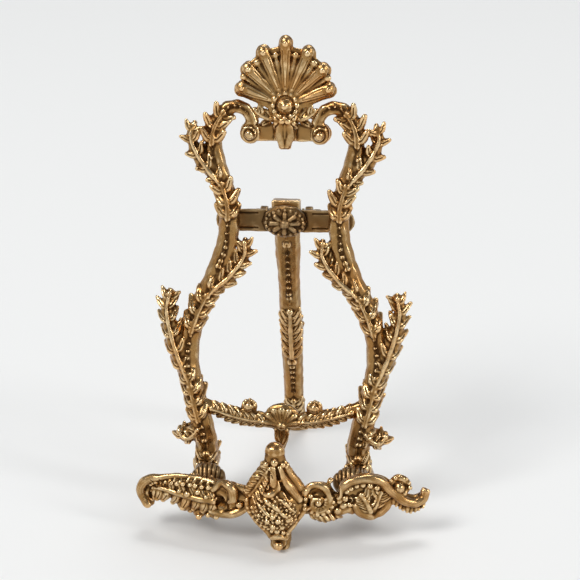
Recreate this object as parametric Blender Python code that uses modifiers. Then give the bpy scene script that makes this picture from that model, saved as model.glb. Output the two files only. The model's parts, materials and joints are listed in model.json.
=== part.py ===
"""Plate display stand: cast rococo ledge, scrolled upright and a hinged rear leg.

Lengths are written in millimetres and turned into Blender's metres by MM.
The origin is on the floor under the front foot, -Y is the front, +X is the viewer's right, +Z is up.
"""
import math

import bmesh
import bpy
from mathutils import Matrix, Vector

MM = 0.001
GAP = 0.3                      # clearance that touching pieces keep

# Ledge: every casting is drawn flat in X and Z, then laid on a bow that sweeps back at both ends.
BOW_RADIUS = 90.0
BOW_FRONT = 1.5                # depth of the castings' middle surface at the centre
BOW_REACH = 42.0               # half the ledge's width
BOW_STEP = 7.0                 # spacing of the cuts that let long faces follow the bow
CASTING_BACK = 1.9             # flat back of the castings, behind their middle surface
BAR_FRONT = CASTING_BACK + GAP
BAR_THICK = 2.2
BAR_HALF_LENGTH = 25.0
BAR_LOW, BAR_HIGH = 8.6, 13.8
LUG_FRONT = BAR_FRONT + BAR_THICK + GAP
LUG_THICK = 2.2
SPOT_FACE = 0.4                # depth of the round seat under a screw head
LEDGE_SCREW_Z = 11.3
WING_SCREW_X = 20.0

# Upright: drawn flat (x across, s up the slope, t behind), then leaned back.
LEAN = math.radians(10.0)
UPRIGHT_FOOT_Y = 15.0          # where the upright's middle plane meets the floor
ARM_SEAT = (21.5, 18.2, 14.8)  # front of the boss that holds a cradle arm: x, y, z
ARM_SEAT_DEPTH = 7.6
CREST_SCREW = (9.5, 108.5)     # x and s of the right crest screw
CREST_SEAT_T = 2.6             # back of the stiles' seats for the crest's strap
CREST_ROOT_S = 115.5           # where the crest's ribs meet
STRAP_HALF_HIGH = 2.4
STRAP_THICK = 2.0
ROUND_END_PROUD = 0.1          # a strap's round ends stand a little proud of its flat
BRACKET_SCREW = (15.5, 84.0)   # x and s of the right bracket screw

# Hinge of the rear leg, in the upright's frame.
HINGE_S, HINGE_T = 84.0, 10.0
PIN_RADIUS = 1.5
PIN_HOLE_RADIUS = 1.57
KNUCKLE_HALF = 3.9
WASHER_THICK = 0.7
EAR_INNER = KNUCKLE_HALF + 2 * GAP + WASHER_THICK
EAR_THICK = 2.0
EAR_OUTER = EAR_INNER + EAR_THICK
EAR_RADIUS = 3.5
BRACKET_FRONT, BRACKET_BACK = 3.2, 5.2

# Screws
SHANK_RADIUS = 0.9
SCREW_HOLE_RADIUS = SHANK_RADIUS + GAP
HEAD_RADIUS = 1.9
HEAD_HIGH = 1.2
HEAD_CHAMFER = 0.35
SCREW_REACH = 0.6              # how far a shank reaches past the seats' middle surface
END_PLAY = 0.5                 # how far the cartouche's screw reaches into its blind hole

ROUND = 16                     # segments of turned hardware
PIN_SEGMENTS = 32

GILT = (0.45, 0.27, 0.09)
GILT_DARK = (0.30, 0.17, 0.06)
BRASS = (0.60, 0.42, 0.16)


# ---------------------------------------------------------------- scene helpers

def clear_scene():
    for old in list(bpy.data.objects):
        bpy.data.objects.remove(old, do_unlink=True)


def new_collection(name):
    collection = bpy.data.collections.new(name)
    bpy.context.scene.collection.children.link(collection)
    return collection


def new_material(name, colour, roughness, metallic=1.0):
    material = bpy.data.materials.new(name)
    material.use_nodes = True
    shader = material.node_tree.nodes["Principled BSDF"]
    shader.inputs["Base Color"].default_value = (*colour, 1.0)
    shader.inputs["Roughness"].default_value = roughness
    shader.inputs["Metallic"].default_value = metallic
    return material


def new_object(name, mesh):
    obj = bpy.data.objects.new(name, mesh)
    bpy.context.scene.collection.objects.link(obj)
    return obj


def evaluated_mesh(obj):
    bpy.context.view_layer.update()
    graph = bpy.context.evaluated_depsgraph_get()
    return bpy.data.meshes.new_from_object(obj.evaluated_get(graph))


def edit_mesh(mesh, change):
    """Runs change(bm) on a mesh."""
    bm = bmesh.new()
    bm.from_mesh(mesh)
    change(bm)
    bm.to_mesh(mesh)
    bm.free()


def combine(base, others, operation):
    """Joins or cuts base with the other closed meshes, by exact Booleans."""
    for other in others:
        cut = base.modifiers.new(operation.lower(), "BOOLEAN")
        cut.operation = operation
        cut.solver = "EXACT"
        cut.object = other
    mesh = evaluated_mesh(base)
    base.modifiers.clear()
    base.data = mesh
    for other in others:
        bpy.data.objects.remove(other, do_unlink=True)
    return base


def fuse(name, pieces):
    result = combine(pieces[0], pieces[1:], "UNION")
    result.name = name
    return result


def move_vertices(obj, rule):
    """Moves every vertex of a mesh object to rule(position)."""
    for vertex in obj.data.vertices:
        vertex.co = rule(vertex.co)
    obj.data.update()
    return obj


# ---------------------------------------------------------------- basic shapes

def smooth_path(points, steps):
    """Samples a Catmull-Rom curve through points; a point's last value is its radius."""
    first = [2 * a - b for a, b in zip(points[0], points[1])]
    last = [2 * a - b for a, b in zip(points[-1], points[-2])]
    knots = [first, *points, last]
    path = []
    for index in range(1, len(knots) - 2):
        p0, p1, p2, p3 = knots[index - 1:index + 3]
        for step in range(steps):
            u = step / steps
            path.append([
                0.5 * (2 * b + (c - a) * u + (2 * a - 5 * b + 4 * c - d) * u ** 2
                       + (3 * b - a - 3 * c + d) * u ** 3)
                for a, b, c, d in zip(p0, p1, p2, p3)
            ])
    path.append(list(points[-1]))
    return path


def sweep(points, flat=1.0, lift=0.0, steps=2):
    """A tapering round bar through (x, z, radius) or (x, y, z, radius) points.

    flat squeezes it front to back, and lift brings it forward.
    """
    spatial = [p if len(p) == 4 else (p[0], 0.0, p[1], p[2]) for p in points]
    path = smooth_path(spatial, steps)
    curve = bpy.data.curves.new("sweep", "CURVE")
    curve.dimensions = "3D"
    curve.bevel_depth = MM
    curve.bevel_resolution = 2
    curve.use_fill_caps = True
    spline = curve.splines.new("POLY")
    spline.points.add(len(path) - 1)
    for point, (x, y, z, radius) in zip(spline.points, path):
        point.co = (x * MM, y * MM, z * MM, 1.0)
        point.radius = radius
    guide = bpy.data.objects.new("sweep", curve)
    bpy.context.scene.collection.objects.link(guide)
    mesh = evaluated_mesh(guide)
    edit_mesh(mesh, lambda bm: bmesh.ops.remove_doubles(bm, verts=bm.verts, dist=1e-6))
    bpy.data.objects.remove(guide, do_unlink=True)
    bar = new_object("sweep", mesh)
    return move_vertices(bar, lambda co: Vector((co.x, co.y * flat - lift * MM, co.z)))


def ball(centre, radii, sides=10):
    """An ellipsoid at (x, y, z)."""
    mesh = bpy.data.meshes.new("ball")
    size = Matrix.Translation(Vector(centre) * MM) @ Matrix.Diagonal((*(r * MM for r in radii), 1.0))
    edit_mesh(mesh, lambda bm: bmesh.ops.create_uvsphere(
        bm, u_segments=sides, v_segments=sides * 2 // 3, radius=1.0, matrix=size))
    return new_object("ball", mesh)


def box(low, high):
    mesh = bpy.data.meshes.new("box")
    middle = Vector([(a + b) / 2 * MM for a, b in zip(low, high)])
    size = Matrix.Diagonal((*((b - a) * MM for a, b in zip(low, high)), 1.0))
    edit_mesh(mesh, lambda bm: bmesh.ops.create_cube(
        bm, size=1.0, matrix=Matrix.Translation(middle) @ size))
    return new_object("box", mesh)


def rod(start, end, radius, segments=ROUND):
    """A cylinder from one point to another."""
    start, end = Vector(start) * MM, Vector(end) * MM
    turn = (end - start).to_track_quat("Z", "Y").to_matrix().to_4x4()
    place = Matrix.Translation((start + end) / 2) @ turn
    mesh = bpy.data.meshes.new("rod")
    edit_mesh(mesh, lambda bm: bmesh.ops.create_cone(
        bm, cap_ends=True, segments=segments, radius1=radius * MM, radius2=radius * MM,
        depth=(end - start).length, matrix=place))
    return new_object("rod", mesh)


def turned(profile, place, segments=ROUND):
    """A turned solid: its profile (radius, height) runs top to bottom, and place puts it on its axis."""
    mesh = bpy.data.meshes.new("profile")
    closed = profile[0][0] > 0
    edges = [(i, i + 1) for i in range(len(profile) - 1)]
    if closed:
        edges.append((len(profile) - 1, 0))
    mesh.from_pydata([(r * MM, 0.0, h * MM) for r, h in profile], edges, [])
    obj = new_object("turned", mesh)
    screw = obj.modifiers.new("turn", "SCREW")
    screw.steps = segments
    screw.render_steps = segments
    screw.use_merge_vertices = True
    screw.merge_threshold = 1e-6
    obj.data = evaluated_mesh(obj)
    obj.modifiers.clear()
    obj.data.transform(place)
    return obj


def swollen(obj, gap=GAP):
    """A copy of obj that stands proud of it by gap on every side, used to cut its neighbours."""
    copy = new_object("swollen", obj.data.copy())

    def push(bm):
        bmesh.ops.recalc_face_normals(bm, faces=bm.faces)
        bm.normal_update()
        for vertex in bm.verts:
            vertex.co += vertex.normal * vertex.calc_shell_factor() * gap * MM

    edit_mesh(copy.data, push)
    return copy


def slice_flat(obj, point, outward):
    """Cuts a solid off at a plane and closes the cut with a flat face."""

    def cut(bm):
        geometry = bm.verts[:] + bm.edges[:] + bm.faces[:]
        bmesh.ops.bisect_plane(bm, geom=geometry, dist=1e-7, plane_co=point, plane_no=outward,
                               clear_outer=True)
        rim = [edge for edge in bm.edges if edge.is_boundary]
        bmesh.ops.holes_fill(bm, edges=rim, sides=0)
        bmesh.ops.recalc_face_normals(bm, faces=bm.faces)

    edit_mesh(obj.data, cut)
    return obj


# ---------------------------------------------------------------- placing

def bow_depth(x):
    """How far back the ledge's middle surface lies at x."""
    return BOW_FRONT + BOW_RADIUS - math.sqrt(BOW_RADIUS ** 2 - x ** 2)


def onto_bow(obj):
    """Lays a flat-drawn piece on the bow; it is divided first, so that its long faces can follow."""

    def divide(bm):
        reach = int(BOW_REACH / BOW_STEP)
        for step in range(-reach, reach + 1):
            geometry = bm.verts[:] + bm.edges[:] + bm.faces[:]
            bmesh.ops.bisect_plane(bm, geom=geometry, dist=1e-7, plane_co=(step * BOW_STEP * MM, 0, 0),
                                   plane_no=(1, 0, 0))

    edit_mesh(obj.data, divide)
    return move_vertices(obj, lambda co: Vector((co.x, co.y + bow_depth(co.x / MM) * MM, co.z)))


def bow_frame(x, z):
    """Matrix of a point on the bow: local +Z points straight out of the ledge's back."""
    slope = math.atan2(x, math.sqrt(BOW_RADIUS ** 2 - x ** 2))
    turn = Matrix.Rotation(slope, 4, "Z") @ Matrix.Rotation(-math.pi / 2, 4, "X")
    return Matrix.Translation(Vector((x, bow_depth(x), z)) * MM) @ turn


def upright_matrix():
    lean = Matrix.Rotation(-LEAN, 4, "X")
    return Matrix.Translation((0.0, UPRIGHT_FOOT_Y * MM, 0.0)) @ lean


def upright_point(x, s, t):
    """World place of a point of the upright's drawing, in millimetres."""
    return upright_matrix() @ (Vector((x, t, s)) * MM) / MM


def hinge_point():
    return upright_point(0.0, HINGE_S, HINGE_T)


# ---------------------------------------------------------------- hardware

def slotted_screw(name, place, shank):
    """A cheese-head screw whose head rests at local Z = 0 and whose shank points down."""
    profile = [(0.0, HEAD_HIGH), (HEAD_RADIUS - HEAD_CHAMFER, HEAD_HIGH),
               (HEAD_RADIUS, HEAD_HIGH - HEAD_CHAMFER), (HEAD_RADIUS, 0.0), (SHANK_RADIUS, 0.0),
               (SHANK_RADIUS, -shank), (0.0, -shank)]
    screw = turned(profile, Matrix.Identity(4))
    slot = box((-3.0, -0.3, HEAD_HIGH - 0.55), (3.0, 0.3, HEAD_HIGH + 1.0))
    combine(screw, [slot], "DIFFERENCE")
    screw.data.transform(place)
    screw.name = name
    return screw


def axis_hole(place, deep, high, radius=SCREW_HOLE_RADIUS):
    """A hole cutter on place's local Z, from -deep to +high."""
    hole = rod((0, 0, -deep), (0, 0, high), radius, 16)
    hole.data.transform(place)
    return hole


def ledge_place(x, behind):
    return bow_frame(x, LEDGE_SCREW_Z) @ Matrix.Translation((0.0, 0.0, behind * MM))


def arm_screw_place(side):
    x, y, z = ARM_SEAT
    back = Vector((side * x, y + ARM_SEAT_DEPTH - SPOT_FACE + GAP, z)) * MM
    return Matrix.Translation(back) @ Matrix.Rotation(-math.pi / 2, 4, "X")


def upright_screw_place(x, s, t):
    """Local +Z points straight out of the upright's back."""
    return Matrix.Translation(Vector((x, t, s)) * MM) @ Matrix.Rotation(-math.pi / 2, 4, "X")


# ---------------------------------------------------------------- ledge castings

def front_cartouche():
    body = sweep([(0.6, 6.0, 4.2), (0.0, 10.0, 7.4), (-0.2, 13.2, 8.8), (-0.4, 17.0, 6.6),
                  (-0.5, 20.5, 4.3)], flat=0.42, lift=1.3)
    finger = sweep([(-0.3, 14.0, 3.4), (-0.5, 20.0, 3.5), (-0.5, 25.0, 3.1), (-0.5, 28.6, 2.7)],
                   flat=0.85, lift=0.9)
    foot = sweep([(0.9, -1.0, 2.5), (0.9, 2.4, 3.1), (0.7, 7.0, 3.6)], flat=0.9, lift=0.9)
    tip = ball((-0.5, -0.9, 28.5), (2.9, 2.6, 2.9))
    boss = ball((-0.1, -3.2, 12.6), (6.6, 3.0, 6.4))
    block = box((-4.0, -0.5, 7.0), (4.0, 3.0, 17.0))
    casting = fuse("front_cartouche", [body, finger, foot, tip, boss, block])
    slice_flat(casting, (0, CASTING_BACK * MM, 0), (0, 1, 0))
    slice_flat(casting, (0, 0, 0), (0, 0, -1))
    onto_bow(casting)
    return combine(casting, [axis_hole(ledge_place(0, 0), 1.0, 9.0)], "DIFFERENCE")


def left_leaf_wing(cartouche):
    leaf = sweep([(-6.0, 14.2, 3.4), (-12.3, 14.0, 4.9), (-19.0, 13.4, 5.9), (-24.0, 13.6, 5.0),
                  (-29.0, 14.0, 3.6), (-33.5, 13.4, 2.2)], flat=0.42)
    spine = sweep([(-8.0, 14.5, 2.4), (-18.0, 14.0, 2.6), (-28.0, 14.2, 2.4), (-34.0, 13.4, 2.1),
                   (-37.0, 11.8, 1.9), (-37.2, 9.6, 1.7)])
    rim = sweep([(-9.0, 16.6, 1.7), (-16.0, 17.6, 1.8), (-24.0, 17.2, 1.7), (-31.0, 16.0, 1.4)], lift=0.4)
    curl = ball((-36.9, 0.0, 9.2), (2.5, 2.2, 2.4))
    scroll = ball((-12.2, -0.8, 16.6), (2.7, 2.3, 2.6))
    lobes = [ball((x, -0.3, z), (2.1, 1.9, 2.0)) for x, z in
             ((-26.0, 9.7), (-21.7, 8.4), (-17.2, 8.5), (-12.8, 10.2))]
    pieces = [leaf, spine, rim, curl, scroll, *lobes]
    casting = fuse("left_leaf_wing", pieces)
    return finish_wing(casting, cartouche, -WING_SCREW_X)


def right_scroll_wing(cartouche):
    web = sweep([(6.0, 14.0, 3.2), (12.0, 13.6, 4.4), (18.0, 13.2, 4.0), (24.0, 14.2, 4.8),
                 (29.5, 14.0, 2.6)], flat=0.45)
    scroll = sweep([(7.4, 16.4, 1.6), (10.0, 18.0, 1.7), (13.6, 17.2, 1.7), (15.0, 14.0, 1.7),
                    (13.2, 11.0, 1.7), (9.8, 11.0, 1.6)], lift=0.5)
    band = sweep([(15.8, 11.6, 1.5), (17.0, 16.2, 1.8), (20.0, 18.9, 2.0), (24.3, 19.4, 2.0),
                  (28.2, 18.0, 1.9), (30.8, 15.0, 1.8), (33.6, 12.4, 1.8), (36.8, 11.2, 1.8),
                  (39.4, 12.2, 1.6), (39.9, 13.8, 1.3)], lift=0.3)
    point = sweep([(24.0, 13.5, 3.4), (25.2, 10.0, 2.7), (25.9, 7.4, 0.9)], flat=0.75)
    hatch = sweep([(9.5, 10.4, 2.0), (13.4, 8.6, 1.8), (17.4, 9.0, 1.2)], lift=0.2)
    knob = ball((33.2, 0.0, 16.6), (1.9, 1.8, 1.8))
    eye = ball((11.2, -0.8, 14.4), (2.2, 2.2, 2.2))
    casting = fuse("right_scroll_wing", [web, scroll, band, point, hatch, knob, eye])
    return finish_wing(casting, cartouche, WING_SCREW_X)


def finish_wing(casting, cartouche, screw_x):
    """Gives a wing its flat back, its place on the bow, its seat at the cartouche and its screw hole."""
    slice_flat(casting, (0, CASTING_BACK * MM, 0), (0, 1, 0))
    onto_bow(casting)
    hole = axis_hole(ledge_place(screw_x, 0), 0.6, 9.0)
    return combine(casting, [swollen(cartouche), hole], "DIFFERENCE")


def ledge_bar():
    bar = box((-BAR_HALF_LENGTH, BAR_FRONT, BAR_LOW), (BAR_HALF_LENGTH, BAR_FRONT + BAR_THICK, BAR_HIGH))
    onto_bow(bar)
    holes = [axis_hole(ledge_place(x, 0), 1.0, 9.0) for x in (-WING_SCREW_X, 0, WING_SCREW_X)]
    combine(bar, holes, "DIFFERENCE")
    bar.name = "ledge_bar"
    return bar


def ledge_screws():
    """The cartouche's screw sits behind the bar, the wings' screws behind the cradle arms' lugs."""
    bar_back = BAR_FRONT + BAR_THICK + GAP
    lug_back = LUG_FRONT + LUG_THICK - SPOT_FACE + GAP
    return [slotted_screw("cartouche_screw", ledge_place(0, bar_back), bar_back + END_PLAY),
            slotted_screw("left_wing_screw", ledge_place(-WING_SCREW_X, lug_back), lug_back),
            slotted_screw("right_wing_screw", ledge_place(WING_SCREW_X, lug_back), lug_back)]


# ---------------------------------------------------------------- cradle arms

def cradle_arm(side, bar):
    """A short bracket whose domed shoulder carries the plate's rim."""
    seat_x, seat_y, seat_z = ARM_SEAT
    end_y = seat_y - GAP
    dome = ball((side * 19.3, 9.9, 15.8), (4.8, 3.0, 4.4), 16)
    neck = sweep([(side * 20.0, 9.0, 15.8, 2.2), (side * 20.4, 12.5, 16.2, 2.7),
                  (side * 21.2, 15.0, 15.2, 2.6), (side * seat_x, 16.4, seat_z, 2.5),
                  (side * seat_x, end_y, seat_z, 2.5)])
    lug = box((-2.7, -4.7, LUG_FRONT - 0.4), (2.7, 2.3, LUG_FRONT + LUG_THICK))
    lug.data.transform(ledge_place(side * WING_SCREW_X, 0))
    arm = fuse("right_cradle_arm" if side > 0 else "left_cradle_arm", [dome, neck, lug])
    wing_hole = axis_hole(ledge_place(side * WING_SCREW_X, 0), 0.5, 12.0)
    wing_head = axis_hole(ledge_place(side * WING_SCREW_X, LUG_FRONT + LUG_THICK), SPOT_FACE, 8.0,
                          HEAD_RADIUS + GAP)
    seat_hole = rod((side * seat_x, end_y - 3.5, seat_z), (side * seat_x, end_y + 2, seat_z),
                    SCREW_HOLE_RADIUS, 16)
    return combine(arm, [swollen(bar), wing_hole, wing_head, seat_hole], "DIFFERENCE")


def arm_screw(side):
    name = "right_arm_screw" if side > 0 else "left_arm_screw"
    return slotted_screw(name, arm_screw_place(side), ARM_SEAT_DEPTH + GAP + 3.0)


# ---------------------------------------------------------------- upright

def stile(side):
    """One S-scroll side of the upright, drawn as (x, t, s); its lower end sweeps back to a foot."""
    def stroke(*points):
        return sweep([(side * x, t, s, radius) for x, s, t, radius in points])

    scroll = stroke((26.4, 3.6, 18.8, 2.6), (25.0, 8.2, 13.6, 3.0), (22.6, 15.0, 6.4, 3.3),
                    (22.0, 22.5, 1.4, 3.4), (24.5, 33.0, 0.0, 3.3), (27.0, 45.0, 0.0, 3.1),
                    (25.5, 57.0, 0.0, 3.0), (20.0, 68.0, 0.0, 3.0), (15.8, 79.0, 0.0, 3.1),
                    (15.5, 89.0, 0.0, 3.0), (18.6, 99.0, 0.0, 2.7), (20.0, 108.5, 0.0, 2.4),
                    (16.0, 115.0, 0.0, 2.1), (10.8, 114.8, 0.0, 1.9), (8.4, 110.6, 0.0, 1.8))
    outer_leaf = stroke((26.0, 40.0, 0.0, 2.8), (30.4, 49.0, 0.0, 2.8), (32.8, 57.0, 0.0, 2.1),
                        (33.4, 62.0, 0.0, 1.6), (31.8, 65.4, 0.0, 1.2))
    inner_leaf = stroke((21.4, 65.0, 0.0, 2.6), (14.4, 70.5, 0.0, 2.3), (10.4, 76.0, 0.0, 1.5),
                        (10.8, 79.4, 0.0, 1.1))
    shoulder_leaf = stroke((17.4, 96.0, 0.0, 2.4), (23.4, 101.0, 0.0, 2.2), (26.4, 107.6, 0.0, 1.4),
                           (25.2, 111.0, 0.0, 1.0))
    knee_leaf = stroke((23.6, 27.0, 0.6, 2.6), (27.8, 23.0, 1.6, 2.0), (30.0, 25.4, 1.6, 1.3))
    name = "right_stile" if side > 0 else "left_stile"
    leaves = [outer_leaf, inner_leaf, shoulder_leaf, knee_leaf]
    frame = fuse(name, [scroll, *leaves, *stile_seats(side)])
    floor = upright_matrix().inverted()
    slice_flat(frame, floor @ Vector((0, 0, 0)), floor.to_3x3() @ Vector((0, 0, -1)))
    return combine(frame, stile_holes(side), "DIFFERENCE")


def arm_seat_rod(side, front, back, radius):
    """A cylinder on the arm screw's axis; front and back are measured from the seat's front."""
    x, y, z = ARM_SEAT
    seat = rod((side * x, y + front, z), (side * x, y + back, z), radius)
    seat.data.transform(upright_matrix().inverted())
    return seat


def stile_seats(side):
    """The volute at the stile's end and the flat seats its neighbours are screwed to."""
    crest_x, crest_s = side * CREST_SCREW[0], CREST_SCREW[1]
    bracket_x, bracket_s = side * BRACKET_SCREW[0], BRACKET_SCREW[1]
    return [ball((crest_x, 0.0, crest_s), (3.1, 2.5, 3.1)),
            rod((crest_x, 0, crest_s), (crest_x, CREST_SEAT_T, crest_s), 2.3),
            rod((bracket_x, 0, bracket_s), (bracket_x, BRACKET_FRONT - GAP, bracket_s), 2.8),
            arm_seat_rod(side, 0.0, ARM_SEAT_DEPTH, 3.1)]


def stile_holes(side):
    return [arm_seat_rod(side, -5.0, 20.0, SCREW_HOLE_RADIUS),
            arm_seat_rod(side, ARM_SEAT_DEPTH - SPOT_FACE, 15.0, HEAD_RADIUS + GAP),
            axis_hole(upright_screw_place(side * CREST_SCREW[0], CREST_SCREW[1], 0), 1.0, 9.0),
            axis_hole(upright_screw_place(side * BRACKET_SCREW[0], BRACKET_SCREW[1], 0), 1.0, 9.0)]


def lower_tie(stiles):
    """A festoon between the stiles with a shell and a drop at its middle."""
    festoon = sweep([(-25.0, 35.0, 1.9), (-14.0, 31.0, 2.0), (0.0, 29.0, 2.3), (14.0, 31.0, 2.0),
                     (25.0, 35.0, 1.9)])
    shell = ball((0.0, 0.0, 30.5), (5.0, 2.6, 4.0))
    drop = sweep([(0.0, 29.0, 2.6), (0.0, 24.0, 1.9), (0.0, 20.5, 0.8)])
    scrolls = [ball((side * 9.0, 0.0, 33.2), (2.4, 2.1, 2.4)) for side in (-1, 1)]
    tie = fuse("lower_tie", [festoon, shell, drop, *scrolls])
    return combine(tie, [swollen(piece) for piece in stiles], "DIFFERENCE")


def crest_shell():
    """Seven ribs that spread from the root, over a thin disc."""
    root = CREST_ROOT_S
    pieces = [ball((0.0, 0.1, root), (4.9, 2.8, 4.2)),
              ball((0.0, -0.15, root + 7.3), (11.4, 1.35, 8.9), 14)]
    for step in range(-3, 4):
        angle = math.radians(23.0 * step)
        reach = 17.0 - 1.5 * abs(step)
        across, up = math.sin(angle), math.cos(angle)
        pieces.append(sweep([(across * 2.0, root + up * 2.0, 1.2),
                             (across * reach * 0.6, root + up * reach * 0.6, 2.0),
                             (across * reach, root + up * reach, 1.9)], flat=0.85))
        pieces.append(ball((across * reach, 0.0, root + up * reach), (2.2, 1.9, 2.2), 8))
    return pieces


def crest_strap():
    """A stem under the shell, and a flat strap whose round ends lie behind the stiles' seats."""
    x, s = CREST_SCREW
    front = CREST_SEAT_T + GAP
    stem = sweep([(0.0, CREST_ROOT_S, 3.2), (0.0, s + 1.0, 3.0), (0.0, s - 4.5, 1.6)])
    strap = box((-x, front + ROUND_END_PROUD, s - STRAP_HALF_HIGH),
                (x, front + STRAP_THICK, s + STRAP_HALF_HIGH))
    lip_half = STRAP_HALF_HIGH - 0.2
    lip = box((-3.0, 0.0, s - lip_half), (3.0, front + 1.0, s + lip_half))
    back = front + STRAP_THICK + ROUND_END_PROUD
    ends = [rod((side * x, front, s), (side * x, back, s), STRAP_HALF_HIGH + 0.5) for side in (-1, 1)]
    return [stem, strap, lip, *ends]


def crest(stiles):
    """A shell of ribs on a stem, held by a strap behind the stiles' volutes."""
    ornament = fuse("crest", [*crest_shell(), *crest_strap()])
    holes = [axis_hole(upright_screw_place(side * CREST_SCREW[0], CREST_SCREW[1], 0), 0.0, 9.0)
             for side in (-1, 1)]
    return combine(ornament, [*(swollen(piece) for piece in stiles), *holes], "DIFFERENCE")


def crest_screw(side):
    name = "right_crest_screw" if side > 0 else "left_crest_screw"
    x, s = CREST_SCREW
    seat = CREST_SEAT_T + GAP + STRAP_THICK + ROUND_END_PROUD + GAP
    return slotted_screw(name, upright_screw_place(side * x, s, seat), seat + SCREW_REACH)


# ---------------------------------------------------------------- hinge and rear leg

def hinge_bracket():
    """A flat bar across the stiles with two ears that hold the pin."""
    span = BRACKET_SCREW[0]
    bar_half = EAR_RADIUS - 0.4
    pieces = [box((-span, BRACKET_FRONT + ROUND_END_PROUD, HINGE_S - bar_half),
                  (span, BRACKET_BACK, HINGE_S + bar_half))]
    ear_half = EAR_RADIUS - 0.7
    for side in (-1, 1):
        pieces.append(rod((side * span, BRACKET_FRONT, HINGE_S),
                          (side * span, BRACKET_BACK + ROUND_END_PROUD, HINGE_S), EAR_RADIUS))
        inner, outer = sorted((side * EAR_INNER, side * EAR_OUTER))
        pieces.append(box((inner, BRACKET_BACK - 0.6, HINGE_S - ear_half),
                          (outer, HINGE_T, HINGE_S + ear_half)))
        pieces.append(rod((inner - 0.05, HINGE_T, HINGE_S), (outer + 0.05, HINGE_T, HINGE_S), EAR_RADIUS))
    boss = ball((0.0, BRACKET_FRONT - 0.6, HINGE_S), (6.4, 2.4, 4.6))
    bracket = fuse("hinge_bracket", [*pieces, boss])
    cutters = [rod((-20, HINGE_T, HINGE_S), (20, HINGE_T, HINGE_S), PIN_HOLE_RADIUS, PIN_SEGMENTS)]
    cutters += [axis_hole(upright_screw_place(side * span, HINGE_S, 0), 0.0, 9.0) for side in (-1, 1)]
    return combine(bracket, cutters, "DIFFERENCE")


def bracket_screw(side):
    name = "right_bracket_screw" if side > 0 else "left_bracket_screw"
    x, s = BRACKET_SCREW
    seat = BRACKET_BACK + ROUND_END_PROUD + GAP
    return slotted_screw(name, upright_screw_place(side * x, s, seat), seat + SCREW_REACH)


def hinge_axis_place():
    """Local +Z runs along the hinge pin towards +X, in the upright's drawing."""
    return Matrix.Translation(Vector((0, HINGE_T, HINGE_S)) * MM) @ Matrix.Rotation(math.pi / 2, 4, "Y")


def hinge_pin():
    """A round pin with a domed head at -X and a chamfered end inside the cap nut."""
    head = -(EAR_OUTER + GAP)
    end = EAR_OUTER + 2.2
    profile = [(0.0, end), (PIN_RADIUS - 0.3, end), (PIN_RADIUS, end - 0.3), (PIN_RADIUS, head), (2.8, head),
               (2.8, head - 0.9), (2.1, head - 1.6), (0.0, head - 1.9)]
    pin = turned(profile, hinge_axis_place(), PIN_SEGMENTS)
    pin.name = "hinge_pin"
    return pin


def hinge_cap_nut():
    face = EAR_OUTER + GAP
    bore = PIN_RADIUS + GAP
    profile = [(0.0, face + 4.6), (0.9, face + 4.3), (1.5, face + 3.5), (2.4, face + 2.7), (2.9, face + 1.6),
               (2.9, face), (bore, face), (bore, face + 2.4), (0.0, face + 2.4)]
    nut = turned(profile, hinge_axis_place())
    nut.name = "hinge_cap_nut"
    return nut


def hinge_washer(side):
    near = KNUCKLE_HALF + GAP
    low, high = sorted((side * near, side * (near + WASHER_THICK)))
    bore = PIN_HOLE_RADIUS + 0.01
    profile = [(bore, high), (3.1, high), (3.1, low), (bore, low)]
    washer = turned(profile, hinge_axis_place(), PIN_SEGMENTS)
    washer.name = "right_hinge_washer" if side > 0 else "left_hinge_washer"
    return washer


def rear_leg():
    """The strut, modelled open; a heel above its knuckle rests against the bracket."""
    hinge = hinge_point()
    strut = sweep([(0.0, hinge.y, hinge.z, 2.6), (0.0, 43.0, 72.5, 2.6), (0.0, 50.6, 56.0, 2.2),
                   (0.0, 59.4, 39.0, 2.4), (0.0, 66.6, 24.0, 2.2), (0.0, 72.0, 11.0, 2.2),
                   (0.0, 76.4, 3.6, 2.6), (0.0, 78.6, -1.5, 2.8)])
    move_vertices(strut, lambda co: Vector((co.x * 1.45, co.y, co.z)))
    toe = ball((0.0, 79.0, 2.4), (3.9, 3.4, 2.9))
    leaf = ball((0.0, 61.6, 39.0), (3.6, 2.6, 8.0))
    knuckle = rod((-KNUCKLE_HALF, HINGE_T, HINGE_S), (KNUCKLE_HALF, HINGE_T, HINGE_S), 3.5, PIN_SEGMENTS)
    heel = box((-KNUCKLE_HALF, BRACKET_BACK + GAP, HINGE_S + 0.6),
               (KNUCKLE_HALF, HINGE_T + 1.6, HINGE_S + 5.6))
    hole = rod((-20, HINGE_T, HINGE_S), (20, HINGE_T, HINGE_S), PIN_HOLE_RADIUS, PIN_SEGMENTS)
    for piece in (knuckle, heel, hole):
        piece.data.transform(upright_matrix())
    leg = fuse("rear_leg", [strut, toe, leaf, knuckle, heel])
    slice_flat(leg, (0, 0, 0), (0, 0, -1))
    combine(leg, [hole], "DIFFERENCE")
    leg.data.transform(Matrix.Translation(-hinge * MM))
    return leg


# ---------------------------------------------------------------- assembly

def finish_piece(obj, collection, material, parent=None):
    for owner in list(obj.users_collection):
        owner.objects.unlink(obj)
    collection.objects.link(obj)
    obj.data.name = obj.name
    obj.data.materials.clear()
    obj.data.materials.append(material)
    obj.data.shade_smooth()
    obj.data.set_sharp_from_angle(angle=math.radians(40.0))
    if parent:
        obj.parent = parent


def new_empty(name, collection, matrix):
    empty = bpy.data.objects.new(name, None)
    empty.matrix_world = matrix
    collection.objects.link(empty)
    return empty


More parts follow.
